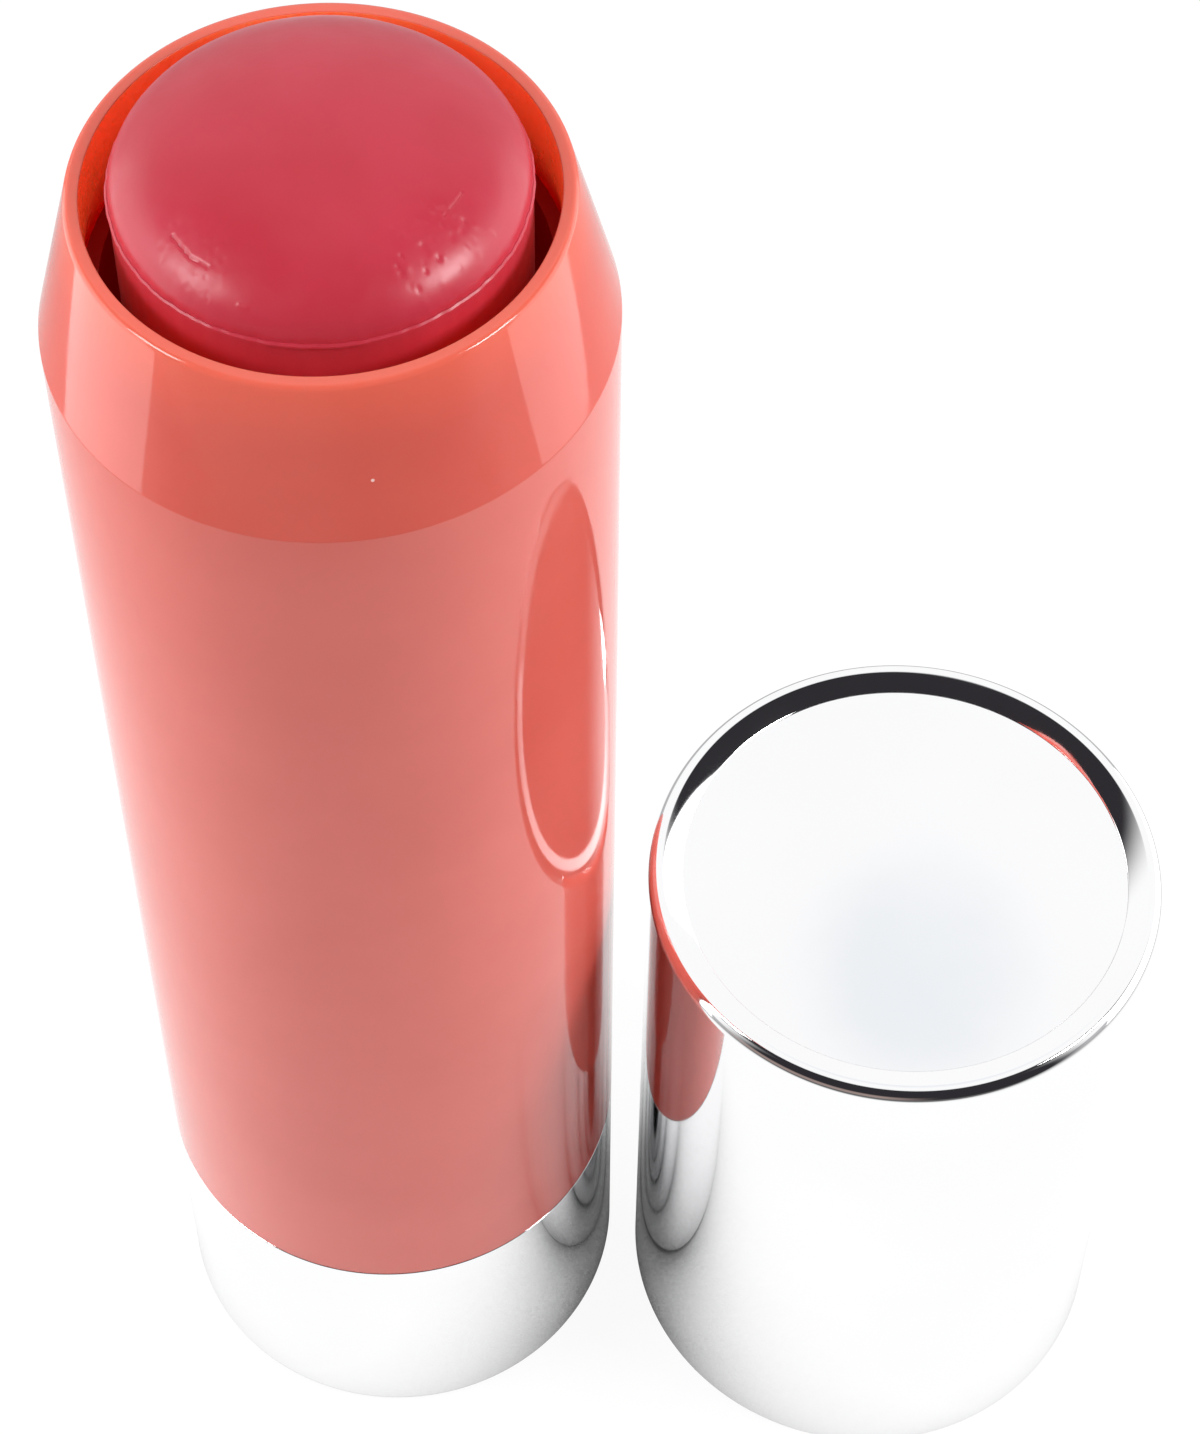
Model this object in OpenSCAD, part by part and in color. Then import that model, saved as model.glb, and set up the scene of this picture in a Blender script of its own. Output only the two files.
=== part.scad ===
// Twist-up balm stick, wound down, with its cap taken off and stood beside it.
// Millimetres, +Z up. The origin is the middle of the stick's foot, on the surface it stands on.

/* [Barrel] */
// Outside diameter of the barrel
barrel_d = 22; // [20:0.2:26]
// Wall of the barrel
barrel_wall = 1; // [0.8:0.05:1.3]
// Length of the barrel's straight body
barrel_len = 59.4; // [54:0.2:76]
// Height of the cone above the crease
cone_h = 6.8; // [5.6:0.1:9]
// How far the cone comes in, on the radius
cone_in = 1.66; // [1.3:0.02:1.8]
// Rounding of the lip's outer edge
lip_round = 0.25; // [0.1:0.05:0.3]
// Straight stretch of the mouth under the lip
lip_land = 2.4; // [1.6:0.1:3]
// Clearance between the mouth and the cup that rises through it
mouth_gap = 0.33; // [0.25:0.01:0.5]

/* [Base] */
// Height of the metal base
base_h = 14.7; // [12:0.1:20]
// How far the base stands proud of the barrel, on the radius
base_proud = 0; // [0:0.02:0.3]
// Wall of the metal base
base_wall = 0.4; // [0.3:0.05:0.7]
// Floor of the metal base
base_floor = 0.6; // [0.4:0.1:1.2]
// Rounding of the foot
foot_round = 0.5; // [0.2:0.1:0.8]
// Gap between the base and the barrel that turns on it
turn_gap = 0.15; // [0.1:0.01:0.3]
// Diameter of the weight in the base
weight_d = 16; // [12:0.5:18]
// Plastic between the weight and the guide tube
core_web = 1.6; // [1:0.1:2.4]
// Depth of the guide tube's socket below the top of the base
socket_in = 3.5; // [2.5:0.1:5]

/* [Turning mechanism] */
// Height of the bearing collar above the base
collar_h = 6.3; // [5.2:0.1:9]
// Height of the snap bead on the collar
bead_h = 1.2; // [0.8:0.1:1.6]
// How far the snap bead reaches into the barrel's wall
bead_reach = 0.12; // [0.08:0.01:0.2]
// Wall of the cam sleeve
cam_wall = 0.75; // [0.6:0.05:0.9]
// Wall of the guide tube
guide_wall = 0.6; // [0.5:0.05:0.75]
// Wall of the cup
cup_wall = 0.6; // [0.5:0.05:0.75]
// Depth of the cup that holds the balm
cup_depth = 7.5; // [6.6:0.1:10]
// Floor of the cup
cup_floor = 1; // [0.8:0.1:1.4]
// Height of the skirt under the cup's floor
skirt_h = 3.4; // [3:0.1:5]
// How far below the lip the cup's rim stops
rim_inset = 1.15; // [0.8:0.05:3]
// Rise of the cup for one turn
lead = 15; // [12:0.5:18]
// Diameter of the cup's lugs
lug_d = 2.2; // [1.8:0.1:2.6]

/* [Balm] */
// Whole length of the balm, with its dome
balm_len = 34.5; // [28:0.5:38]
// Height of the dome
dome_h = 3.1; // [2:0.1:4.4]
// Height of the dome's edge above the lip
dome_proud = 0.25; // [0:0.05:1]
// How far the moulding ridge stands out
ridge_out = 0.07; // [0.02:0.01:0.12]
// Height of the moulding ridge
ridge_h = 0.16; // [0.08:0.02:0.3]

/* [Cap] */
// Height of the cap
cap_h = 36.4; // [34:0.2:44]
// Wall of the metal cap
shell_wall = 0.3; // [0.25:0.05:0.5]
// Thinnest wall of the liner
liner_wall = 0.24; // [0.2:0.02:0.6]
// How much wider the mouth is than the top, on the radius
cap_draft = 0.3; // [0.1:0.02:0.5]
// Clearance between the liner and the barrel
cap_gap = 0.06; // [0.03:0.01:0.1]
// Outer rounding of the rim
rim_round = 0.6; // [0.3:0.05:0.8]
// Width of the rim's inner slope
rim_slope = 0.8; // [0.5:0.05:1.2]
// Depth of the disc below the rim's crest
rim_drop = 0.38; // [0.2:0.02:0.45]
// Thickness of the disc
disc_t = 0.6; // [0.4:0.1:1]
// Metal plate under the disc
plate_t = 0.4; // [0.3:0.1:0.8]
// Top of the liner
liner_top = 0.9; // [0.6:0.1:1.4]
// Room above the dome in the closed cap
cap_head = 2.2; // [1:0.1:4]
// Height of the liner's mouth above the metal edge
liner_up = 0.4; // [0.2:0.1:1]
// How far the liner's shoulder reaches in past the barrel's mouth
stop_lap = 0.2; // [0.1:0.05:0.4]
// Gap between the standing cap and the foot
stand_gap = 1.4; // [1.1:0.1:6]
// Direction from the stick to the cap, in degrees from +X
stand_turn = -2.7; // [-30:0.1:30]

/* [Fits] */
// Radial clearance of parts that turn or slide in each other
run_gap = 0.08; // [0.05:0.01:0.1]
// Radial clearance of parts that are pressed together
seat_gap = 0.03; // [0.01:0.01:0.05]
// Clearance between a lug and its slots
slot_gap = 0.12; // [0.08:0.01:0.2]
// Small chamfer on free edges
edge_break = 0.12; // [0.05:0.01:0.15]

/* [Hidden] */
$fn = 96;
overcut = 1;

// Radii, from the barrel inwards
barrel_r = barrel_d / 2;
bore_r = barrel_r - barrel_wall;
cam_r = bore_r - seat_gap;
cam_in_r = cam_r - cam_wall;
guide_r = cam_in_r - run_gap;
guide_in_r = guide_r - guide_wall;
cup_r = guide_in_r - run_gap;
cup_in_r = cup_r - cup_wall;
balm_r = cup_in_r - seat_gap;
mouth_r = cup_r + mouth_gap;
lip_r = barrel_r - cone_in;
collar_r = bore_r - run_gap;
bead_r = bore_r + bead_reach;
groove_r = bead_r + run_gap;
lug_r = lug_d / 2;
slot_r = lug_r + slot_gap;

// Heights of the barrel
barrel_z = base_h + turn_gap;
crease_z = barrel_z + barrel_len;
lip_z = crease_z + cone_h;
land_z = lip_z - lip_land;
inner_crease_z = crease_z - barrel_wall;
cone_angle = atan(cone_in / cone_h);

// Heights in the base
base_r = barrel_r + base_proud;
core_r = base_r - base_wall - seat_gap;
core_top = base_h - edge_break;
socket_z = base_h - socket_in;
weight_top = socket_z - core_web;
weight_r = weight_d / 2;
collar_top = base_h + collar_h;
bead_z = base_h + collar_h / 2;
ring_r = (bore_r - guide_r - run_gap) / 2;
ring_mid_r = guide_r + seat_gap + ring_r;

// Heights of the moving cup and its travel
dome_z = lip_z + dome_proud;
balm_top = dome_z + dome_h;
balm_z = balm_top - balm_len;
cup_z = balm_z - cup_floor;
cup_rim = balm_z + cup_depth;
skirt_z = cup_z - skirt_h;
lug_z = cup_z - skirt_h / 2;
travel = lip_z - rim_inset - cup_rim;
turn_angle = 360 * travel / lead;
lug_end_r = cam_r - slot_gap;

// Heights of the tubes
cam_z = collar_top + 2 * ring_r + run_gap;
cam_top = inner_crease_z - run_gap;
guide_tip_r = guide_r + 2 * run_gap;
guide_top = inner_crease_z
    + (bore_r - guide_tip_r) / (bore_r - mouth_r) * (land_z - inner_crease_z);

// The cap, in its own frame: its mouth is at height 0
cap_top_r = barrel_r + cap_gap + liner_wall + shell_wall;
cap_mouth_r = cap_top_r + cap_draft;
crest_r = cap_top_r - rim_round;
seat_r = crest_r - rim_slope;
slope_round = (rim_slope * rim_slope + rim_drop * rim_drop) / (2 * rim_drop);
slope_angle = asin(rim_slope / slope_round);
disc_top = cap_h - rim_drop;
disc_z = disc_top - disc_t;
plate_z = disc_z - plate_t;
room_top = plate_z - seat_gap - liner_top;
stop_z = room_top - cap_head - dome_h - dome_proud;
liner_bore_r = barrel_r + cap_gap;
stop_r = mouth_r - stop_lap;
rib_r = 0.5;
rib_count = 6;
rib_h = 8;
cap_away = base_r + cap_mouth_r + stand_gap;

// Points on an arc about [x, z], from angle a0 to angle a1
function arc(x, z, r, a0, a1, n = 8) =
    [for (i = [0:n]) let (a = a0 + (a1 - a0) * i / n) [x + r * cos(a), z + r * sin(a)]];

// Outer radius of the cap at a height above its mouth
function cap_r_at(z) = cap_mouth_r - cap_draft * z / (cap_h - rim_round);

// Inner radius of the cap's metal wall at a height above its mouth
function shell_in_r(z) = cap_r_at(z) - shell_wall;

// Drawn metal sleeve with a closed, rounded foot
module base_shell() {
    color([0.9, 0.9, 0.91])
        rotate_extrude()
            polygon(concat(
                [[0, 0]],
                arc(base_r - foot_round, foot_round, foot_round, -90, 0),
                [[base_r, base_h - edge_break],
                 [base_r - edge_break, base_h],
                 [base_r - base_wall, base_h],
                 [base_r - base_wall, base_floor],
                 [0, base_floor]]));
}

// Plug in the base: pocket for the weight below, bearing collar with its snap bead above
module base_core() {
    bead_slope = bead_reach + run_gap;
    color([0.35, 0.09, 0.08])
        rotate_extrude()
            polygon([
                [weight_r + seat_gap, base_floor],
                [core_r, base_floor],
                [core_r, core_top],
                [collar_r, core_top],
                [collar_r, bead_z - bead_h / 2],
                [bead_r, bead_z - bead_h / 2 + bead_slope],
                [bead_r, bead_z + bead_h / 2 - bead_slope],
                [collar_r, bead_z + bead_h / 2],
                [collar_r, collar_top - edge_break],
                [collar_r - edge_break, collar_top],
                [guide_r + seat_gap, collar_top],
                [guide_r + seat_gap, socket_z],
                [0, socket_z],
                [0, weight_top],
                [weight_r + seat_gap, weight_top]]);
}

// Steel slug that gives the base its heft
module base_weight() {
    color([0.5, 0.5, 0.52])
        translate([0, 0, base_floor])
            cylinder(r = weight_r, h = weight_top - seat_gap - base_floor);
}

// One straight slot with round ends, cut across both walls of the guide tube
module straight_slots() {
    translate([-guide_r - overcut, -slot_r, lug_z])
        cube([2 * (guide_r + overcut), 2 * slot_r, travel]);
    for (end_z = [lug_z, lug_z + travel])
        translate([-guide_r - overcut, 0, end_z])
            rotate([0, 90, 0])
                cylinder(r = slot_r, h = 2 * (guide_r + overcut));
}

// Tube that stands in the base and keeps the cup from turning
module guide_tube() {
    color([0.45, 0.1, 0.08])
        difference() {
            translate([0, 0, socket_z])
                cylinder(r = guide_r, h = guide_top - socket_z);
            translate([0, 0, socket_z - overcut])
                cylinder(r = guide_in_r, h = guide_top - socket_z + 2 * overcut);
            straight_slots();
        }
}

// Rubber ring between the bearing collar and the cam sleeve
module friction_ring() {
    color([0.12, 0.12, 0.13])
        translate([0, 0, collar_top + ring_r])
            rotate_extrude()
                translate([ring_mid_r, 0])
                    circle(r = ring_r);
}

// Helical bar that cuts one slot of the cam sleeve. It falls as its angle grows,
// so that a positive turn of the barrel lifts the lug.
module helix_cutter(start_angle) {
    step = 10;
    end_room = asin((slot_r + slot_gap) / cam_in_r);
    sweep = turn_angle + 2 * end_room;
    n = ceil(sweep / step);
    half_h = slot_r / cos(atan(lead / (2 * PI * cam_in_r)));
    r0 = cam_in_r - overcut / 2;
    r1 = cam_r + overcut / 2;
    points = [
        for (i = [0:n])
            let (turned = -end_room + sweep * i / n,
                 a = start_angle - turned,
                 z = lug_z + lead * turned / 360)
            for (corner = [[r0, -half_h], [r1, -half_h], [r1, half_h], [r0, half_h]])
                [corner[0] * cos(a), corner[0] * sin(a), z + corner[1]]];
    sides = [
        for (i = [0:n - 1])
            for (k = [0:3])
                let (p = 4 * i + k,
                     q = 4 * i + (k + 1) % 4)
                for (face = [[p, q + 4, q], [p, p + 4, q + 4]])
                    face];
    last = 4 * n;
    ends = [[0, 2, 3], [0, 1, 2], [last, last + 2, last + 1], [last, last + 3, last + 2]];
    polyhedron(points = points, faces = concat(sides, ends));
}

// Sleeve with two helical slots, pressed into the barrel
module cam_sleeve() {
    color([0.85, 0.82, 0.78])
        difference() {
            translate([0, 0, cam_z])
                cylinder(r = cam_r, h = cam_top - cam_z);
            translate([0, 0, cam_z - overcut])
                cylinder(r = cam_in_r, h = cam_top - cam_z + 2 * overcut);
            for (side = [0, 180])
                helix_cutter(side);
        }
}

// Cup that holds the balm, with two lugs on its skirt
module carrier_cup() {
    color([0.55, 0.12, 0.1]) {
        rotate_extrude()
            polygon([
                [0, cup_z],
                [cup_r - cup_wall, cup_z],
                [cup_r - cup_wall, skirt_z],
                [cup_r, skirt_z],
                [cup_r, cup_rim - edge_break],
                [cup_r - edge_break, cup_rim],
                [cup_in_r, cup_rim],
                [cup_in_r, balm_z],
                [0, balm_z]]);
        for (side = [0, 180])
            rotate([0, 0, side])
                translate([cup_r - cup_wall / 2, 0, lug_z])
                    rotate([0, 90, 0])
                        cylinder(r = lug_r, h = lug_end_r - cup_r + cup_wall / 2);
    }
}

// Moulded balm: straight stick, thin ridge and low dome
module balm() {
    dome_r = balm_r - ridge_out / 2;
    dome_base = dome_z + ridge_h;
    dome_rise = balm_top - dome_base;
    color([0.77, 0.27, 0.31])
        rotate_extrude()
            polygon(concat(
                [[0, balm_z],
                 [balm_r, balm_z],
                 [balm_r, dome_z - ridge_out],
                 [balm_r + ridge_out, dome_z],
                 [balm_r + ridge_out, dome_z + ridge_h - ridge_out],
                 [dome_r + ridge_out / 2, dome_base]],
                [for (i = [0:24])
                    let (a = 90 * i / 24)
                    [dome_r * cos(a), dome_base + dome_rise * sin(a)]]));
}

// Barrel: straight body, crease, cone and lip, with the snap groove near its foot
module barrel() {
    groove_half = bead_h / 2 + run_gap;
    lip_x = lip_r - lip_round * (1 - sin(cone_angle)) / cos(cone_angle);
    color([0.85, 0.45, 0.4])
        rotate_extrude()
            polygon(concat(
                [[bore_r + edge_break, barrel_z],
                 [barrel_r - edge_break, barrel_z],
                 [barrel_r, barrel_z + edge_break],
                 [barrel_r, crease_z]],
                arc(lip_x, lip_z - lip_round, lip_round, cone_angle, 90),
                [[mouth_r, lip_z],
                 [mouth_r, land_z],
                 [bore_r, inner_crease_z],
                 [bore_r, bead_z + groove_half],
                 [groove_r, bead_z + groove_half - bead_reach],
                 [groove_r, bead_z - groove_half + bead_reach],
                 [bore_r, bead_z - groove_half],
                 [bore_r, barrel_z + edge_break]]));
}

// Moves a piece of the cap to where the cap stands
module beside_stick() {
    rotate([0, 0, stand_turn])
        translate([cap_away, 0, 0])
            children();
}

// Metal cap with a rounded rim round a shallow seat for the disc
module cap_shell() {
    color([0.92, 0.92, 0.93])
        beside_stick()
            rotate_extrude()
                polygon(concat(
                    [[shell_in_r(0), 0],
                     [cap_r_at(0) - edge_break, 0],
                     [cap_r_at(edge_break), edge_break]],
                    arc(crest_r, cap_h - rim_round, rim_round, 0, 90),
                    arc(crest_r, cap_h - slope_round, slope_round, 90, 90 + slope_angle),
                    [[seat_r, disc_z],
                     [0, disc_z],
                     [0, plate_z],
                     [shell_in_r(plate_z), plate_z]]));
}

// Plastic liner: bore for the barrel, cone, shoulder that stops on the lip, room for the dome
module cap_liner() {
    bore_top = stop_z - cone_h + 2 * run_gap;
    top_z = plate_z - seat_gap;
    color([0.93, 0.9, 0.88])
        beside_stick() {
            rotate_extrude()
                polygon([
                    [liner_bore_r, liner_up],
                    [shell_in_r(liner_up) - seat_gap, liner_up],
                    [shell_in_r(top_z) - seat_gap, top_z],
                    [0, top_z],
                    [0, room_top],
                    [stop_r, room_top],
                    [stop_r, stop_z],
                    [lip_r + 2 * run_gap, stop_z],
                    [liner_bore_r, bore_top]]);
            for (i = [0:rib_count - 1])
                rotate([0, 0, 360 * i / rib_count])
                    translate([liner_bore_r + rib_r - seat_gap - cap_gap, 0, 2 * liner_up])
                        intersection() {
                            cylinder(r = rib_r, h = rib_h);
                            translate([-rib_r, -rib_r, 0])
                                cube([rib_r, 2 * rib_r, rib_h]);
                        }
        }
}

// Polished disc seated in the rim
module cap_disc() {
    color([0.95, 0.95, 0.96])
        beside_stick()
            translate([0, 0, disc_z])
                cylinder(r = seat_r - seat_gap, h = disc_t - seat_gap);
}

base_shell();
base_core();
base_weight();
guide_tube();
friction_ring();
cam_sleeve();
carrier_cup();
balm();
barrel();
cap_shell();
cap_liner();
cap_disc();
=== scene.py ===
# Twist-up balm stick and its metal cap: the looks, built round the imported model.
# Profiles are in millimetres and objects in metres. +Z is up and +X points towards the cap.

import math

import bpy
import numpy as np
from mathutils import Matrix, Vector


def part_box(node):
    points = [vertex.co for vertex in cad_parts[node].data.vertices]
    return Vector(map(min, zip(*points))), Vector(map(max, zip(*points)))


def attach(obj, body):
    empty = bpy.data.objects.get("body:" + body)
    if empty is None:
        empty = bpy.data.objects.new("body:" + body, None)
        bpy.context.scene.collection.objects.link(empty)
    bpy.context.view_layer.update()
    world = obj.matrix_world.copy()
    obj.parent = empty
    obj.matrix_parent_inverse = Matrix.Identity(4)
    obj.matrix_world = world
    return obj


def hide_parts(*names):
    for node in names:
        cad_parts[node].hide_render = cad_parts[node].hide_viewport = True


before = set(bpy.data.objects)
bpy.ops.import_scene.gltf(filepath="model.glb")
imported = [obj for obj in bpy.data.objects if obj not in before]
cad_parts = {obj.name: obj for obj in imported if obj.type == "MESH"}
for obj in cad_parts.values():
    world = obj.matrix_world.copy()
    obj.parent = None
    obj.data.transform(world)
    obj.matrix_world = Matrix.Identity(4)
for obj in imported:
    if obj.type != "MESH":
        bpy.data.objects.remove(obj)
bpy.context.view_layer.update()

MM = 0.001
SEED = 7
RING = 256
WHITE = (1, 1, 1, 1)

# Camera, fitted to the outlines in the photograph, in metres and degrees
CAMERA_PLACE = (0.01028, -0.09542, 0.18742)
CAMERA_PITCH = 55.8
CAMERA_ROLL = 0.46
CAMERA_LENS = 98.0
CAMERA_SENSOR = 36.0
CAMERA_NEAR = 0.005

# Floor, in metres: how white it is, and where mirrors see it darker: painted shade in corners, and dimmer
# to the front and far out
FLOOR_RADIUS = 0.16
FLOOR_SHARE = 0.9
FLOOR_GLOW = 1.03
FLOOR_CORNER = 0.03
FLOOR_CORNER_SAMPLES = 12
FLOOR_DARKEST = 0.04
FLOOR_SHUT_IN = 0.2
FLOOR_OPEN = 0.62
FLOOR_FRONT = 0.06
FLOOR_FRONT_FADE = 0.03
FLOOR_DIM = 0.3
FLOOR_MIDDLE = (0.012, 0.0, 0.0)
FLOOR_NEAR_R = 0.05
FLOOR_FAR_R = 0.115
FLOOR_FAR = 0.4
FLOOR_DROP_MM = 0.02
FLOOR_THICK_MM = 1.0

# World as a light on the object
WORLD_DIFFUSE = 0.61
WORLD_DIFFUSE_FRONT = 0.38
WORLD_LESS_ABOVE = 0.38
WORLD_LESS_RIGHT = 0.45
TOWARD_FRONT = (0, -1, 0)
TOWARD_RIGHT = (1, -0.2, 0)

# World as mirrors see it
TOWARD_BACKDROP = (0, 0.9, 0.43)
TOWARD_ZENITH = (0, 0.2, 0.98)
TOWARD_COOL_PATCH = (0.0823, 0.506, 0.859)
CEILING = (0.028, 0.026, 0.03, 1)
WARM_FRONT = (0.33, 0.25, 0.23, 1)
ZENITH = (0.75, 0.75, 0.76, 1)
BELOW_HORIZON = (0.5, 0.5, 0.51, 1)
COOL_PATCH = (0.875, 0.90, 0.925, 1)

# Lamps: place, the point that each faces, its size in metres and its power in watts
PANEL_SIZE = (0.13, 0.14)
PANEL_AIM = (0.0, 0.0, 0.070)
KEY_AIM = (0.0, 0.0, 0.083)
LAMPS = {
    "panel_left": ((-0.104, 0.013, 0.070), PANEL_AIM, PANEL_SIZE, 0.088),
    "panel_right": ((0.114, 0.030, 0.070), PANEL_AIM, PANEL_SIZE, 0.080),
    "key_left": ((-0.130, -0.050, 0.176), KEY_AIM, (0.055, 0.055), 0.13),
    "key_right": ((0.286, -0.088, 0.279), KEY_AIM, (0.118, 0.118), 0.82),
}

# Sizes that the frame doesn't give by itself, in millimetres and degrees.
# Every rounded corner is an arc of this step, with a point this far off on each side.
ARC_STEP = 9
ARC_SUPPORT = 0.03
SHARP_FROM = 35

BARREL_WALL = 1.0
CONE_HEIGHT = 6.8
CONE_IN = 1.66
CREASE_ROUND = 0.35
LIP_ROUND = 0.25
LIP_FLAT_IN = 8.79
LIP_SUPPORT = 0.3
MOUTH_EDGE = 0.06
MOUTH_LAND = 2.4
MOUTH_STEP_ROUND = 0.3
BARREL_FOOT_ROUND = 0.1
SEAM_CLOSE = 0.1
CONE_SPECK = (2.1, -10.15, 76.86)
CONE_SPECK_R = 0.09

BASE_WALL = 0.4
BASE_FLOOR = 0.6
BASE_BRIM_ROUND = 0.05
BASE_CORNER_ROUND = 0.1
FOOT_ROUND = 0.5
HEM_ROUND = 0.05

RIDGE_OUT = 0.07
RIDGE_HEIGHT = 0.16
RIDGE_ROUND = 0.03
RIDGE_UNDER_ROUND = 0.04
RIDGE_RAGGED = 0.035
RIDGE_REACH = 0.25
BALM_R = 7.8
BALM_TRIM = 0.1
BALM_FOOT_ROUND = 0.3
DOME_HEIGHT = 3.1
DOME_STEPS = 120
# The dome has finer segments over its front, from one angle to the other
DOME_FINE_START = 205
DOME_FINE_END = 340
DOME_FINE = 380
DOME_COARSE = 190

CAP_DRAFT = 0.16
CAP_WALL = 0.3
CAP_MOUTH_ROUND = 0.12
CAP_MOUTH_IN_ROUND = 0.04
CAP_SHOULDER = 0.73
CAP_SHOULDER_LEAN = 35
CAP_CREST = 0.12
CAP_LAND = 0.24
CAP_BRINK = 0.15
CAP_SEAT_R = 10.175
CAP_SLOPE_START = 20
CAP_SLOPE_LEAN = 27
CAP_FOOT = 0.2
CAP_FOOT_LEAN = 44
CAP_DISC_FLOOR = 0.98
CAP_PLATE = 0.4
CAP_PLATE_IN = 0.1
CAP_PLATE_ROUND = 0.15
DISC_BEVEL = 0.012
DISC_SUNK = 0.02

# Scratches on the dome, as (x, y) points in millimetres, with a width and a depth
SCRATCHES = [
    ([(-4.94, -4.14), (-4.60, -4.60), (-4.25, -5.05), (-3.63, -5.49)], 0.05, 0.07),
    ([(5.25, -2.30), (4.97, -2.85), (4.62, -3.45)], 0.045, 0.04),
    ([(-2.50, -6.80), (-2.20, -6.92)], 0.06, -0.03),
]
# Worn patches on the dome: centre, radius and depth of the pitting, in millimetres
WORN = [((-4.6, -5.3), 1.7, 0.018), ((4.9, -4.9), 2.2, 0.040)]
PITS = 90
PIT_SIZES = (0.06, 0.16)
PIT_DEPTHS = (-0.6, 1.0)
WAVE_DEPTH = 0.006
SCUFF_FADE = 0.3

# Painted glow and lightening in place of light that comes through the walls
INSIDE_GLOW = 0.2
INSIDE_GLOW_REACH = 5.5
# Painted red glow on the dark red inner pieces, to brighten the deep gap in the mouth
DEEP_GLOW = 0.035
# Where the lip's wall starts to look thin, and where it is thinnest, from its top: the span of the
# painted glow that lightens its colour
LIP_PAINTED_GLOW_START = 3.2
LIP_PAINTED_GLOW_END = 0.6


def node_box(name):
    """Lowest and highest corner of a CAD node, in millimetres."""
    low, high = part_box(name)
    return low / MM, high / MM


def arc(centre_r, centre_z, radius, start, end, steps=10):
    """Points on an arc of the profile, with angles in degrees."""
    angles = np.radians(np.linspace(start, end, steps + 1))
    return [(centre_r + radius * math.cos(a), centre_z + radius * math.sin(a)) for a in angles]


def arc_on(point, radius, start, end, steps):
    """An arc that goes on smoothly from a point of the profile."""
    turn = math.radians(start)
    centre_r = point[0] - radius * math.cos(turn)
    centre_z = point[1] - radius * math.sin(turn)
    return arc(centre_r, centre_z, radius, start, end, steps)


def fillet(back_point, corner, ahead_point, rounding):
    """A corner of the profile as a fine arc, with a support point on each side of it."""
    here = np.array(corner)
    back = np.array(back_point) - here
    ahead = np.array(ahead_point) - here
    back /= np.linalg.norm(back)
    ahead /= np.linalg.norm(ahead)
    half = math.acos(np.clip(back @ ahead, -1, 1)) / 2
    run = rounding / math.tan(half)
    middle = here + (back + ahead) / np.linalg.norm(back + ahead) * rounding / math.sin(half)
    first = here + back * run
    last = here + ahead * run
    a0 = math.atan2(*(first - middle)[::-1])
    a1 = math.atan2(*(last - middle)[::-1])
    turn = (a1 - a0 + math.pi) % (2 * math.pi) - math.pi
    steps = max(4, math.ceil(abs(math.degrees(turn)) / ARC_STEP))
    support = min(ARC_SUPPORT, rounding / 4)
    points = [tuple(first + back * support)]
    for k in range(steps + 1):
        a = a0 + turn * k / steps
        points.append(tuple(middle + rounding * np.array((math.cos(a), math.sin(a)))))
    points.append(tuple(last + ahead * support))
    return points


def rounded(corners, closed=True):
    """A profile from corners (radius, height, rounding)."""
    count = len(corners)
    points = []
    for i, (r, z, rounding) in enumerate(corners):
        end_point = not closed and i in (0, count - 1)
        if rounding == 0 or end_point:
            points.append((r, z))
        else:
            points += fillet(corners[i - 1][:2], (r, z), corners[(i + 1) % count][:2], rounding)
    return points


def even_turn(segments, start=0.0, end=360.0):
    """Angles at even steps from start up to end, which is left out, in radians."""
    return np.radians(np.linspace(start, end, segments, endpoint=False))


def turned_points(profile, turn):
    """The points of a turned profile, and the numbers of the points in each of its rings."""
    circle = np.stack([np.cos(turn), np.sin(turn)], axis=1)
    points, rings = [], []
    total = 0
    for r, z in profile:
        on_axis = r < 1e-6
        if on_axis:
            ring = np.array([[0.0, 0.0, z]])
        else:
            ring = np.column_stack([circle * r, np.full(len(turn), z)])
        points.append(ring)
        rings.append(list(range(total, total + len(ring))))
        total += len(ring)
    return np.concatenate(points), rings


def turned_faces(rings, segments, bands):
    """The faces between neighbouring rings, and each face's material slot."""
    looped = len(rings[0]) > 1
    stretches = len(rings) if looped else len(rings) - 1
    faces, slots = [], []
    for i in range(stretches):
        a, b = rings[i], rings[(i + 1) % len(rings)]
        slots += [bands[i] if bands else 0] * segments
        for k in range(segments):
            n = (k + 1) % segments
            if len(a) == 1:
                faces.append((a[0], b[n], b[k]))
            elif len(b) == 1:
                faces.append((a[k], a[n], b[0]))
            else:
                faces.append((a[k], a[n], b[n], b[k]))
    return faces, slots


def lathe(name, profile, centre=(0.0, 0.0), turn=even_turn(RING), bands=None, shape=None):
    """Turns a profile of (radius, height) points into a closed mesh.

    A profile that starts and ends on the axis is left open there; any other is a loop. turn holds
    the angles of the segments, bands gives each stretch of the profile its material slot, and shape
    moves the finished points.
    """
    co, rings = turned_points(profile, turn)
    if shape:
        co = shape(co)
    co[:, 0] += centre[0]
    co[:, 1] += centre[1]
    faces, slots = turned_faces(rings, len(turn), bands)
    mesh = bpy.data.meshes.new(name)
    mesh.from_pydata((co * MM).tolist(), [], faces)
    mesh.polygons.foreach_set("material_index", slots)
    mesh.polygons.foreach_set("use_smooth", [True] * len(faces))
    mesh.set_sharp_from_angle(angle=math.radians(SHARP_FROM))
    mesh.validate()
    mesh.update()
    piece = bpy.data.objects.new(name, mesh)
    bpy.context.scene.collection.objects.link(piece)
    return piece


def dress(piece, body, slot, node, *materials):
    """Gives a piece its materials and its body, and hides the CAD node that it stands for. The slot is
    not used.
    """
    for material in materials:
        piece.data.materials.append(material)
    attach(piece, body)
    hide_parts(node)


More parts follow.
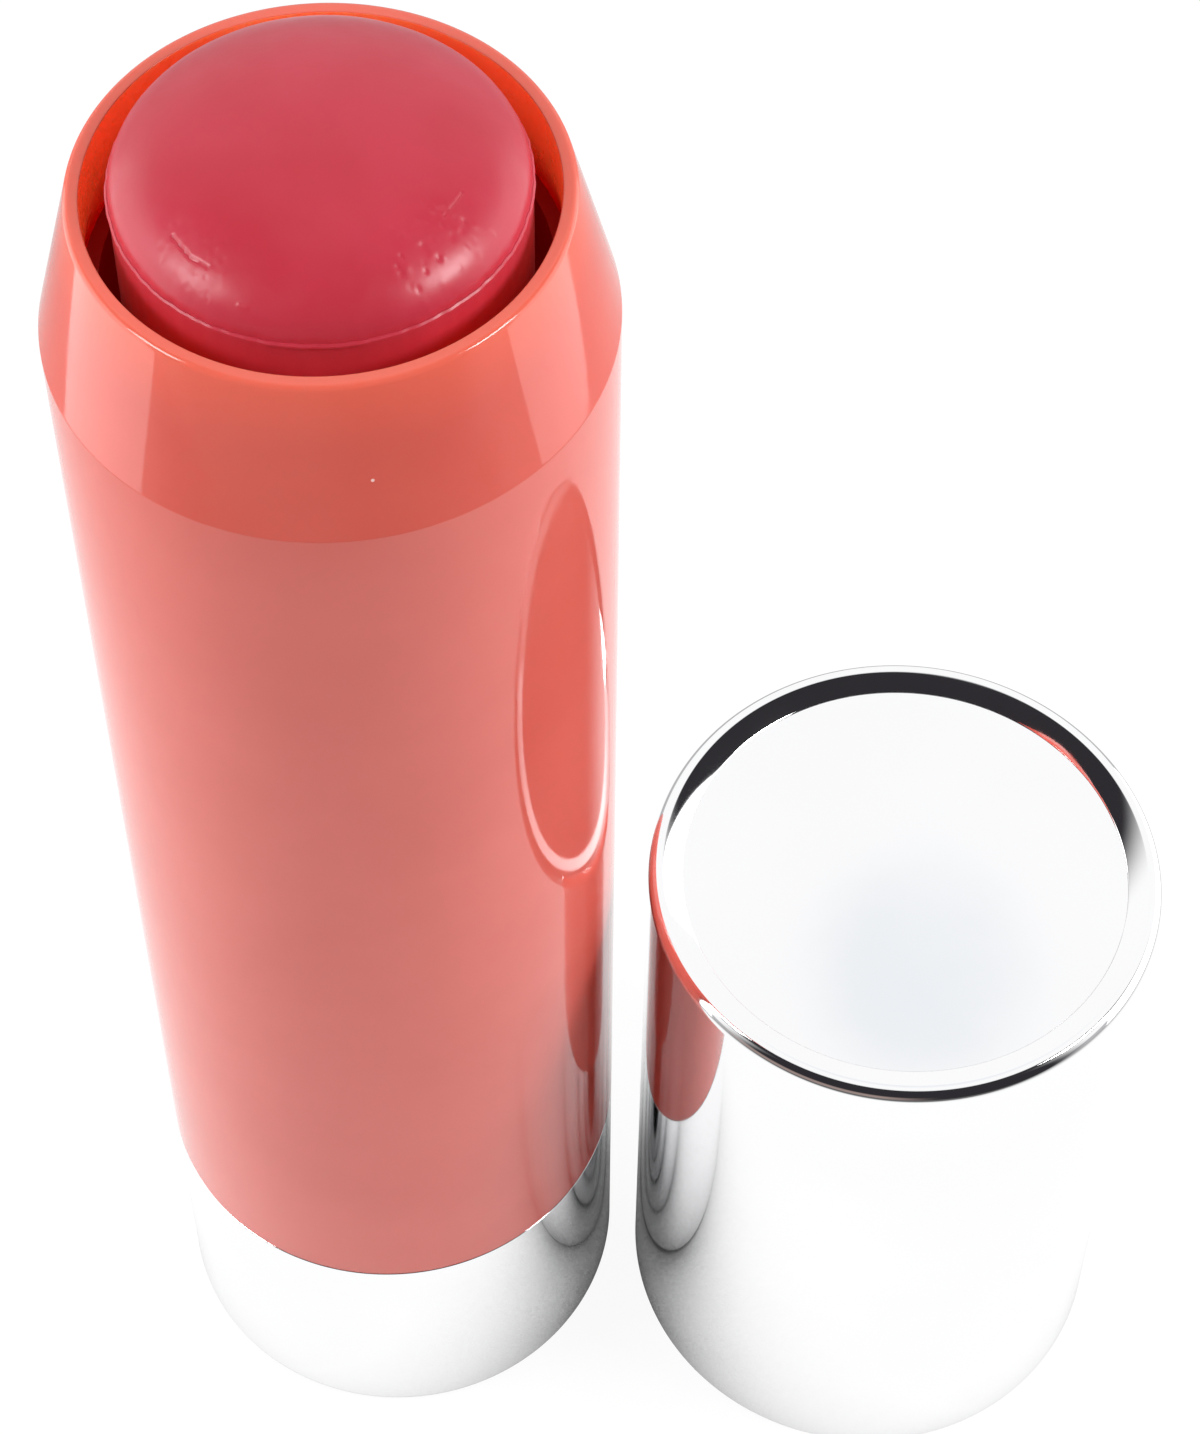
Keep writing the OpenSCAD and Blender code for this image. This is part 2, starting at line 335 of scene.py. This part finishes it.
class Nodes:
    """Short ways to build a node tree."""

    def __init__(self, tree):
        self.tree = tree

    def node(self, kind, inputs=None, **settings):
        """Adds a node. Its inputs are sockets to link or plain values."""
        made = self.tree.nodes.new(kind)
        for key, value in settings.items():
            setattr(made, key, value)
        for key, value in (inputs or {}).items():
            if isinstance(value, bpy.types.NodeSocket):
                self.tree.links.new(value, made.inputs[key])
            else:
                made.inputs[key].default_value = value
        return made

    def math(self, operation, a, b):
        return self.node("ShaderNodeMath", {0: a, 1: b}, operation=operation).outputs[0]

    def distance(self, a, b):
        return self.node("ShaderNodeVectorMath", {0: a, 1: b}, operation="DISTANCE").outputs["Value"]

    def toward(self, ray, direction):
        """How far a ray points this way: 1 is straight along it and 0 is across it."""
        unit = Vector(direction).normalized()
        made = self.node("ShaderNodeVectorMath", {0: ray, 1: unit}, operation="DOT_PRODUCT")
        return made.outputs["Value"]

    def ranged(self, value, low, high, start=0.3, end=0.7):
        """A value from start to end mapped to low to high."""
        made = self.node("ShaderNodeMapRange", {
            "Value": value, "From Min": start, "From Max": end, "To Min": low, "To Max": high},
            interpolation_type="SMOOTHSTEP")
        return made.outputs["Result"]

    def step(self, value, start, end):
        """0 up to start, 1 from end on, and smooth between."""
        return self.ranged(value, 0.0, 1.0, start, end)

    def mix(self, factor, a, b):
        made = self.node("ShaderNodeMix", {0: factor, 6: a, 7: b}, data_type="RGBA")
        return made.outputs[2]


class Shader(Nodes):
    """Short ways to build a material."""

    def __init__(self, name):
        self.material = bpy.data.materials.new(name)
        self.material.use_nodes = True
        super().__init__(self.material.node_tree)
        self.surface = self.tree.nodes["Principled BSDF"]
        self.place = self.node("ShaderNodeTexCoord").outputs["Object"]

    def set(self, **values):
        """Sets sockets of the surface by name, with underscores for spaces."""
        for key, value in values.items():
            self.surface.inputs[key.replace("_", " ")].default_value = value

    def link(self, socket, name):
        self.tree.links.new(socket, self.surface.inputs[name])

    def along(self, axis):
        """The place on one axis, in metres."""
        return self.node("ShaderNodeSeparateXYZ", {0: self.place}).outputs[axis]

    def noise(self, size, detail=3.0, rough=0.5, stretch=(1, 1, 1)):
        """Noise with features of about this size, in millimetres."""
        place = self.place
        if stretch != (1, 1, 1):
            scaled = self.node("ShaderNodeVectorMath", {0: place, 1: stretch}, operation="MULTIPLY")
            place = scaled.outputs[0]
        made = self.node("ShaderNodeTexNoise", {
            "Vector": place, "Scale": 1 / (size * MM), "Detail": detail, "Roughness": rough})
        return made.outputs["Fac"]

    def blend(self, a, b, value, start=0.3, end=0.7):
        """A colour that goes from a to b as the value goes from start to end."""
        return self.mix(self.step(value, start, end), a, b)

    def spot(self, centre, radius):
        """A small round mask round a point, in millimetres."""
        away = self.distance(self.place, tuple(c * MM for c in centre))
        return self.ranged(away, 1.0, 0.0, 0.5 * radius * MM, radius * MM)

    def specks(self, cell, size, share):
        """Sparse round specks: about one in so many cells, each of this size in millimetres."""
        voronoi = self.node("ShaderNodeTexVoronoi", {"Vector": self.place, "Scale": 1 / (cell * MM)})
        near = self.ranged(voronoi.outputs["Distance"], 1.0, 0.0, 0.4 * size / cell, size / cell)
        chosen = self.step(voronoi.outputs["Color"], 1 - share, 1 - share * 0.98)
        return self.math("MULTIPLY", near, chosen)

    def bump(self, height, distance):
        """Bump of this depth, in millimetres."""
        made = self.node("ShaderNodeBump", {
            "Height": height, "Distance": distance * MM, "Strength": 1.0})
        self.link(made.outputs["Normal"], "Normal")


def rgb(red, green, blue):
    """A linear colour from the usual 0 to 255 values."""
    def linear(v):
        v /= 255
        return v / 12.92 if v <= 0.04045 else ((v + 0.055) / 1.055) ** 2.4
    return (linear(red), linear(green), linear(blue), 1.0)


def coral_plastic():
    """Glossy coral moulding with a painted glow that makes it brighter towards its thin lip, and a little
    dust.
    """
    lip = node_box("barrel")[1].z
    s = Shader("coral_plastic")
    s.set(IOR=1.5, Subsurface_Weight=0.3, Subsurface_Scale=1.2 * MM,
          Subsurface_Radius=(1.0, 0.35, 0.3))
    drift = s.blend(rgb(222, 100, 88), rgb(226, 105, 93), s.noise(9.0))
    # Painted glow: the colour turns lighter towards the thin lip, for light that comes through the wall.
    painted_lip_glow = s.step(s.along("Z"), (lip - LIP_PAINTED_GLOW_START) * MM, (lip + LIP_PAINTED_GLOW_END) * MM)
    tone = s.mix(painted_lip_glow, drift, rgb(240, 110, 90))
    tone = s.mix(s.specks(2.6, 0.09, 0.05), tone, rgb(246, 190, 182))
    tone = s.mix(s.spot(CONE_SPECK, CONE_SPECK_R), tone, rgb(255, 214, 206))
    s.link(tone, "Base Color")
    s.link(s.ranged(s.noise(1.5, 4.0), 0.045, 0.075), "Roughness")
    s.bump(s.noise(2.2, 2.0), 0.004)
    return s.material


def coral_inside():
    """Inside of the same moulding, painted deeper and warmer, with a painted glow near the lip, for the
    light that comes through it.
    """
    s = Shader("coral_inside")
    s.set(IOR=1.5, Subsurface_Weight=0.85, Subsurface_Scale=3.0 * MM,
          Subsurface_Radius=(1.0, 0.12, 0.06), Emission_Color=(1.0, 0.13, 0.03, 1.0))
    # Painted light: a lighter, warmer colour than the outside, for light that comes through the wall.
    s.link(s.blend(rgb(254, 138, 92), rgb(252, 128, 84), s.noise(4.0)), "Base Color")
    lip = node_box("barrel")[1].z
    # Painted glow: red emission near the lip, for the same light.
    painted_glow_near_lip = s.step(s.along("Z"), (lip - INSIDE_GLOW_REACH) * MM, lip * MM)
    s.link(s.math("MULTIPLY", painted_glow_near_lip, INSIDE_GLOW), "Emission Strength")
    s.material.cycles.emission_sampling = "NONE"
    s.link(s.ranged(s.noise(1.0, 4.0), 0.25, 0.34), "Roughness")
    s.bump(s.noise(0.8, 2.0), 0.001)
    return s.material


def rose_balm():
    """Satin wax: soft colour drift, fine grain and a few darker grains of pigment."""
    s = Shader("rose_balm")
    s.set(IOR=1.46, Subsurface_Weight=0.25, Subsurface_Scale=1.0 * MM,
          Subsurface_Radius=(1.0, 0.3, 0.3),
          Sheen_Weight=0.22, Sheen_Roughness=0.35, Sheen_Tint=(1.0, 0.75, 0.8, 1.0))
    tone = s.blend(rgb(194, 48, 65), rgb(201, 54, 74), s.noise(5.0))
    s.link(s.mix(s.specks(2.0, 0.12, 0.02), tone, rgb(160, 50, 70)), "Base Color")
    s.link(s.ranged(s.noise(0.8, 5.0), 0.30, 0.38), "Roughness")
    s.bump(s.noise(0.25), 0.0025)
    return s.material


def bright_metal():
    """Mirror-bright plated metal with a trace of handling in its gloss."""
    s = Shader("bright_metal")
    s.set(Metallic=1.0, IOR=1.5)
    s.link(s.blend(rgb(250, 250, 251), rgb(252, 252, 253), s.noise(12.0)), "Base Color")
    s.link(s.ranged(s.noise(6.0, 5.0), 0.04, 0.07), "Roughness")
    s.bump(s.noise(3.0, 2.0), 0.0015)
    return s.material


def plain_steel():
    """Turned steel with fine rings."""
    s = Shader("plain_steel")
    s.set(Metallic=1.0)
    rings = s.noise(0.12, 2.0, stretch=(0.05, 0.05, 1))
    s.link(s.blend(rgb(176, 177, 181), rgb(196, 197, 200), rings), "Base Color")
    s.link(s.ranged(rings, 0.28, 0.42), "Roughness")
    s.bump(rings, 0.01)
    return s.material


def moulded(name, dark, light, rough, glow=0.0):
    """Moulded plastic with a faint drift of tone, a fine eroded grain, and an optional faint painted red
    glow.
    """
    s = Shader(name)
    # Painted glow: a faint red emission for light that reaches deep inside.
    if glow:
        s.set(Emission_Color=(1.0, 0.0, 0.0, 1.0), Emission_Strength=glow)
        s.material.cycles.emission_sampling = "NONE"
    s.set(IOR=1.48)
    s.link(s.blend(dark, light, s.noise(3.5)), "Base Color")
    s.link(s.ranged(s.noise(0.5, 4.0), rough, rough + 0.12), "Roughness")
    s.bump(s.noise(0.15), 0.008)
    return s.material


def floor_in_mirrors(s):
    """How bright mirrors see the floor: painted shade in corners, dim in front and far out."""
    # Painted shade: mirrors see the floor darker where pieces shut it in, from ambient occlusion.
    corner = s.node("ShaderNodeAmbientOcclusion", {"Distance": FLOOR_CORNER},
                    samples=FLOOR_CORNER_SAMPLES).outputs["AO"]
    painted_corner_shade = s.ranged(corner, FLOOR_DARKEST, FLOOR_GLOW, FLOOR_SHUT_IN, FLOOR_OPEN)
    # Dimmer towards the front, and far out from the pieces.
    dimmer_in_front = s.ranged(s.along("Y"), FLOOR_DIM, 1.0, -FLOOR_FRONT - FLOOR_FRONT_FADE, -FLOOR_FRONT)
    reach = s.distance(s.place, FLOOR_MIDDLE)
    far = s.ranged(reach, 1.0, FLOOR_FAR, FLOOR_NEAR_R, FLOOR_FAR_R)
    return s.math("MULTIPLY", s.math("MULTIPLY", painted_corner_shade, dimmer_in_front), far)


def floor_material():
    """Pale floor that shows white to the camera and to mirrors, and still takes a shadow."""
    s = Shader("pale_floor")
    s.link(s.blend(rgb(240, 240, 240), rgb(243, 243, 243), s.noise(30.0)), "Base Color")
    s.set(Roughness=0.9, Specular_IOR_Level=0.0)
    rays = s.node("ShaderNodeLightPath").outputs
    strength = s.node("ShaderNodeMix", {
        0: rays["Is Camera Ray"], 2: floor_in_mirrors(s), 3: FLOOR_GLOW}).outputs[0]
    white = s.node("ShaderNodeEmission", {"Color": WHITE, "Strength": strength}).outputs[0]
    to_camera = s.math("MULTIPLY", rays["Is Camera Ray"], FLOOR_SHARE)
    to_mirrors = s.math("MAXIMUM", rays["Is Glossy Ray"], rays["Is Transmission Ray"])
    share = s.math("MAXIMUM", to_camera, to_mirrors)
    both = s.node("ShaderNodeMixShader", {0: share, 1: s.surface.outputs[0], 2: white})
    s.tree.links.new(both.outputs[0], s.tree.nodes["Material Output"].inputs["Surface"])
    return s.material


def make_camera():
    data = bpy.data.cameras.new("camera")
    data.lens = CAMERA_LENS
    data.sensor_width = CAMERA_SENSOR
    data.clip_start = CAMERA_NEAR
    camera = bpy.data.objects.new("camera", data)
    camera.matrix_world = (
        Matrix.Translation(CAMERA_PLACE)
        @ Matrix.Rotation(math.pi / 2 - math.radians(CAMERA_PITCH), 4, "X")
        @ Matrix.Rotation(math.radians(CAMERA_ROLL), 4, "Z"))
    bpy.context.scene.collection.objects.link(camera)
    bpy.context.scene.camera = camera


def make_lamp(name, place, aim, size, power):
    """A rectangular soft lamp that faces a point."""
    data = bpy.data.lights.new(name, "AREA")
    data.shape = "RECTANGLE"
    data.size, data.size_y = size
    data.energy = power
    lamp = bpy.data.objects.new(name, data)
    lamp.location = place
    lamp.rotation_euler = (Vector(aim) - Vector(place)).to_track_quat("-Z", "Y").to_euler()
    lamp.visible_camera = False
    bpy.context.scene.collection.objects.link(lamp)


def world_in_mirrors(s, ray, x, height):
    """White backdrop and low band, dark ceiling, warm low front, pale zenith, one cool patch."""
    not_front = s.step(s.toward(ray, TOWARD_FRONT), 0.62, 0.34)
    low_band = s.math("MULTIPLY", s.step(height, 0.62, 0.36), not_front)
    bright = s.math("MAXIMUM", s.step(s.toward(ray, TOWARD_BACKDROP), 0.62, 0.80), low_band)
    pale = s.mix(s.step(height, -0.02, 0.08), BELOW_HORIZON, WHITE)
    warm = s.math("MULTIPLY", s.step(height, 0.16, -0.02), s.step(x, 0.25, -0.15))
    dim = s.mix(warm, CEILING, WARM_FRONT)
    dim = s.mix(s.step(s.toward(ray, TOWARD_ZENITH), 0.958, 0.978), dim, ZENITH)
    cool = s.step(s.toward(ray, TOWARD_COOL_PATCH), 0.9994, 0.9999)
    return s.mix(cool, s.mix(bright, dim, pale), COOL_PATCH)


def world_as_light(s, ray, height):
    """Even grey light, weaker from the front, from above and from the right."""
    not_front = s.step(s.toward(ray, TOWARD_FRONT), 0.7, -0.1)
    level = s.math("MULTIPLY", not_front, WORLD_DIFFUSE - WORLD_DIFFUSE_FRONT)
    level = s.math("ADD", level, WORLD_DIFFUSE_FRONT)
    above = s.math("MULTIPLY", s.step(height, 0.3, 0.95), WORLD_LESS_ABOVE)
    right = s.math("MULTIPLY", s.step(s.toward(ray, TOWARD_RIGHT), 0.2, 0.95), WORLD_LESS_RIGHT)
    left_over = s.math("SUBTRACT", s.math("SUBTRACT", 1.0, above), right)
    level = s.math("MULTIPLY", level, left_over)
    return s.node("ShaderNodeCombineColor", {0: level, 1: level, 2: level}).outputs[0]


def make_world():
    """White to the camera, a studio to mirrors, and an even light to everything else."""
    world = bpy.data.worlds.new("studio")
    bpy.context.scene.world = world
    world.use_nodes = True
    world.node_tree.nodes.clear()
    s = Nodes(world.node_tree)
    ray = s.node("ShaderNodeTexCoord").outputs["Generated"]
    split = s.node("ShaderNodeSeparateXYZ", {0: ray}).outputs
    mirrored = world_in_mirrors(s, ray, split["X"], split["Z"])
    diffuse = world_as_light(s, ray, split["Z"])
    rays = s.node("ShaderNodeLightPath").outputs
    to_mirrors = s.math("MAXIMUM", rays["Is Glossy Ray"], rays["Is Transmission Ray"])
    seen = s.mix(rays["Is Camera Ray"], s.mix(to_mirrors, diffuse, mirrored), WHITE)
    background = s.node("ShaderNodeBackground", {"Color": seen, "Strength": 1.0}).outputs[0]
    s.node("ShaderNodeOutputWorld", {"Surface": background})


def make_floor():
    edge = FLOOR_RADIUS / MM
    profile = [(0, -FLOOR_THICK_MM), (edge, -FLOOR_THICK_MM), (edge, -FLOOR_DROP_MM), (0, -FLOOR_DROP_MM)]
    floor = lathe("floor", profile, turn=even_turn(96))
    floor.data.materials.append(floor_material())


def make_base(metal):
    """Drawn metal sleeve with a rounded foot and a fine hem."""
    high = node_box("base_shell")[1]
    r, top = high.x, high.z
    profile = rounded([
        (0, 0, 0),
        (r, 0, FOOT_ROUND),
        (r, top, HEM_ROUND),
        (r - BASE_WALL, top, BASE_BRIM_ROUND),
        (r - BASE_WALL, BASE_FLOOR, BASE_CORNER_ROUND),
        (0, BASE_FLOOR, 0)], closed=False)
    dress(lathe("metal_base", profile), "base", "bright_metal", "base_shell", metal)


def make_barrel(outside, inside):
    """Coral barrel: straight body, crease, cone, narrow flat lip, and the mouth's wall."""
    low, high = node_box("barrel")
    r, lip = high.x, high.z
    crease = lip - CONE_HEIGHT
    bore = r - BARREL_WALL
    foot = low.z - SEAM_CLOSE
    outline = rounded([
        (LIP_FLAT_IN + LIP_SUPPORT, lip, 0),
        (LIP_FLAT_IN, lip, MOUTH_EDGE),
        (LIP_FLAT_IN, lip - MOUTH_LAND, MOUTH_STEP_ROUND),
        (bore, crease - BARREL_WALL, MOUTH_STEP_ROUND),
        (bore, foot, BARREL_FOOT_ROUND),
        (r, foot, HEM_ROUND),
        (r, crease, CREASE_ROUND),
        (r - CONE_IN, lip, LIP_ROUND)])
    stretches = zip(outline, outline[1:] + outline[:1])
    bands = [0 if is_outside(a, b, r, lip) else 1 for a, b in stretches]
    piece = lathe("coral_barrel", outline, bands=bands)
    dress(piece, "barrel", "coral_plastic", "barrel", outside, inside)


def is_outside(a, b, r, lip):
    """Whether a stretch of the barrel's profile lies on its outer face or lip."""
    middle_r = (a[0] + b[0]) / 2
    middle_z = (a[1] + b[1]) / 2
    up_cone = max(0.0, middle_z - lip + CONE_HEIGHT) / CONE_HEIGHT
    on_lip = middle_z > lip - MOUTH_EDGE / 2
    return on_lip or middle_r > r - CONE_IN * up_cone - BARREL_WALL / 3


def make_balm(wax):
    """Moulded balm: thin ridge, low dome, and the scuffs that the dome has taken."""
    low, high = node_box("balm")
    side = high.x - RIDGE_OUT - BALM_TRIM
    edge = high.z - DOME_HEIGHT
    dome_r = side - RIDGE_OUT / 2
    dome_base = edge + RIDGE_HEIGHT
    rise = high.z - dome_base
    wall = rounded([
        (0, low.z, 0),
        (side, low.z, BALM_FOOT_ROUND),
        (side, edge - RIDGE_OUT, RIDGE_UNDER_ROUND),
        (side + RIDGE_OUT, edge, RIDGE_ROUND),
        (side + RIDGE_OUT, dome_base - RIDGE_OUT, RIDGE_ROUND),
        (dome_r + RIDGE_OUT / 2, dome_base, 0)], closed=False)
    dome = [(dome_r * math.cos(a), dome_base + rise * math.sin(a))
            for a in np.linspace(0, math.pi / 2, DOME_STEPS + 1)]
    dome[-1] = (0, high.z)
    coarse = even_turn(DOME_COARSE, DOME_FINE_END - 360, DOME_FINE_START)
    fine = even_turn(DOME_FINE, DOME_FINE_START, DOME_FINE_END)
    piece = lathe("rose_balm_stick", wall + dome, turn=np.concatenate([coarse, fine]),
                  shape=lambda co: scuff(co, dome_base))
    dress(piece, "carrier", "rose_balm", "balm", wax)


def scratch_depth(x, y):
    """How deep the scratches are at each point of the dome."""
    depth = np.zeros(len(x))
    for points, width, deep in SCRATCHES:
        for (x0, y0), (x1, y1) in zip(points, points[1:]):
            run_x, run_y = x1 - x0, y1 - y0
            along = np.clip(((x - x0) * run_x + (y - y0) * run_y) / (run_x ** 2 + run_y ** 2), 0, 1)
            away = np.hypot(x - x0 - along * run_x, y - y0 - along * run_y)
            groove = deep * np.exp(-(away / width) ** 2)
            depth = np.where(np.abs(groove) > np.abs(depth), groove, depth)
    return depth


def pit_depth(x, y):
    """How deep the pits of the worn patches are at each point of the dome."""
    rng = np.random.default_rng(SEED)
    depth = np.zeros(len(x))
    for (cx, cy), radius, deep in WORN:
        for _ in range(PITS):
            angle, reach = rng.uniform(0, 2 * math.pi), radius * math.sqrt(rng.uniform())
            px, py = cx + reach * math.cos(angle), cy + reach * math.sin(angle)
            size = rng.uniform(*PIT_SIZES)
            away = np.hypot(x - px, y - py)
            depth += deep * rng.uniform(*PIT_DEPTHS) * np.exp(-(away / size) ** 2)
    return depth


def scuff(co, dome_base):
    """Makes the ridge a little ragged, and presses marks and a slight waviness into the dome."""
    turn = np.arctan2(co[:, 1], co[:, 0])
    near_ridge = np.exp(-((co[:, 2] - dome_base) / RIDGE_REACH) ** 2)
    ragged = sum(np.sin(n * turn + n * n) / 4 for n in (7, 19, 43, 71))
    co[:, :2] *= 1 + (RIDGE_RAGGED / BALM_R * near_ridge * ragged)[:, None]
    on_dome = co[:, 2] > dome_base
    x, y = co[on_dome, 0], co[on_dome, 1]
    wave = WAVE_DEPTH * (np.sin(x * 1.7 + 0.6) * np.cos(y * 1.3 - 0.4) + 1)
    fade = np.clip((co[on_dome, 2] - dome_base) / SCUFF_FADE, 0, 1)
    co[on_dome, 2] -= (scratch_depth(x, y) + pit_depth(x, y) + wave) * fade
    return co


def cap_rim(wall_top, top):
    """Outer shoulder, fine crest with a narrow land, and a convex slope down to the disc."""
    rise = 90 - CAP_SHOULDER_LEAN
    lift = math.radians(rise)
    crest = wall_top - CAP_SHOULDER * (1 - math.cos(lift)) - CAP_CREST * math.cos(lift)
    shoulder_z = top - CAP_CREST * (1 - math.sin(lift)) - CAP_SHOULDER * math.sin(lift)
    shoulder = arc(wall_top - CAP_SHOULDER, shoulder_z, CAP_SHOULDER, 0, rise, 24)
    outer_brink = arc(crest, top - CAP_CREST, CAP_CREST, rise, 90, 8)

    start = math.sin(math.radians(CAP_SLOPE_START))
    end = math.sin(math.radians(CAP_SLOPE_LEAN))
    foot_end = math.sin(math.radians(CAP_FOOT_LEAN))
    land = crest - CAP_LAND
    slope_run = land - CAP_SEAT_R - CAP_BRINK * start - CAP_FOOT * (foot_end - end)
    bend = slope_run / (end - start)
    inner_brink = arc(land, top - CAP_BRINK, CAP_BRINK, 90, 90 + CAP_SLOPE_START, 6)
    slope = arc_on(inner_brink[-1], bend, 90 + CAP_SLOPE_START, 90 + CAP_SLOPE_LEAN, 14)
    foot = arc_on(slope[-1], CAP_FOOT, 90 + CAP_SLOPE_LEAN, 90 + CAP_FOOT_LEAN, 6)
    return shoulder + outer_brink[1:] + inner_brink + slope[1:] + foot[1:]


def make_cap(metal):
    """Metal cap: drafted wall, soft rim, and a thin plate under the disc."""
    low, high = node_box("cap_shell")
    centre = ((low.x + high.x) / 2, (low.y + high.y) / 2)
    mouth = (high.x - low.x) / 2
    wall_top = mouth - CAP_DRAFT
    rim = cap_rim(wall_top, high.z)
    disc_floor = high.z - CAP_DISC_FLOOR
    plate = disc_floor - CAP_PLATE
    skirt = rounded([
        (0, plate, 0),
        (wall_top - CAP_WALL - CAP_PLATE_IN, plate, CAP_PLATE_ROUND),
        (mouth - CAP_WALL, 0, CAP_MOUTH_IN_ROUND),
        (mouth, 0, CAP_MOUTH_ROUND),
        (*rim[0], 0)], closed=False)
    profile = skirt + rim[1:] + [(CAP_SEAT_R, disc_floor), (0, disc_floor)]
    dress(lathe("metal_cap", profile, centre), "cap", "bright_metal", "cap_shell", metal)


def make_disc(metal):
    """Polished disc in the cap's top, with a fine bevelled edge."""
    low, high = node_box("cap_disc")
    centre = ((low.x + high.x) / 2, (low.y + high.y) / 2)
    r = (high.x - low.x) / 2
    top = high.z - DISC_SUNK
    profile = rounded([
        (0, low.z, 0),
        (r, low.z, DISC_BEVEL),
        (r, top, DISC_BEVEL),
        (0, top, 0)], closed=False)
    dress(lathe("cap_top_disc", profile, centre), "cap", "bright_metal", "cap_disc", metal)


def dress_inner_pieces():
    """Materials of the CAD pieces that stay as they are."""
    # The dark red pieces get a faint painted glow.
    dark_red = moulded("dark_red_plastic", rgb(168, 20, 12), rgb(178, 26, 16), 0.28, DEEP_GLOW)
    cream = moulded("cream_plastic", rgb(226, 220, 212), rgb(234, 229, 222), 0.38)
    rubber = moulded("black_rubber", rgb(24, 24, 26), rgb(33, 33, 35), 0.62)
    by_node = {
        "base_core": dark_red,
        "guide_tube": dark_red,
        "carrier_cup": dark_red,
        "base_weight": plain_steel(),
        "friction_ring": rubber,
        "cam_sleeve": cream,
        "cap_liner": cream,
    }
    for name, material in by_node.items():
        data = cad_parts[name].data
        data.materials.clear()
        data.materials.append(material)


def main():
    make_camera()
    make_world()
    for name, (place, aim, size, power) in LAMPS.items():
        make_lamp(name, place, aim, size, power)
    make_floor()
    metal = bright_metal()
    make_base(metal)
    make_barrel(coral_plastic(), coral_inside())
    make_balm(rose_balm())
    make_cap(metal)
    make_disc(metal)
    dress_inner_pieces()
    bpy.context.scene.view_settings.view_transform = "Standard"


main()
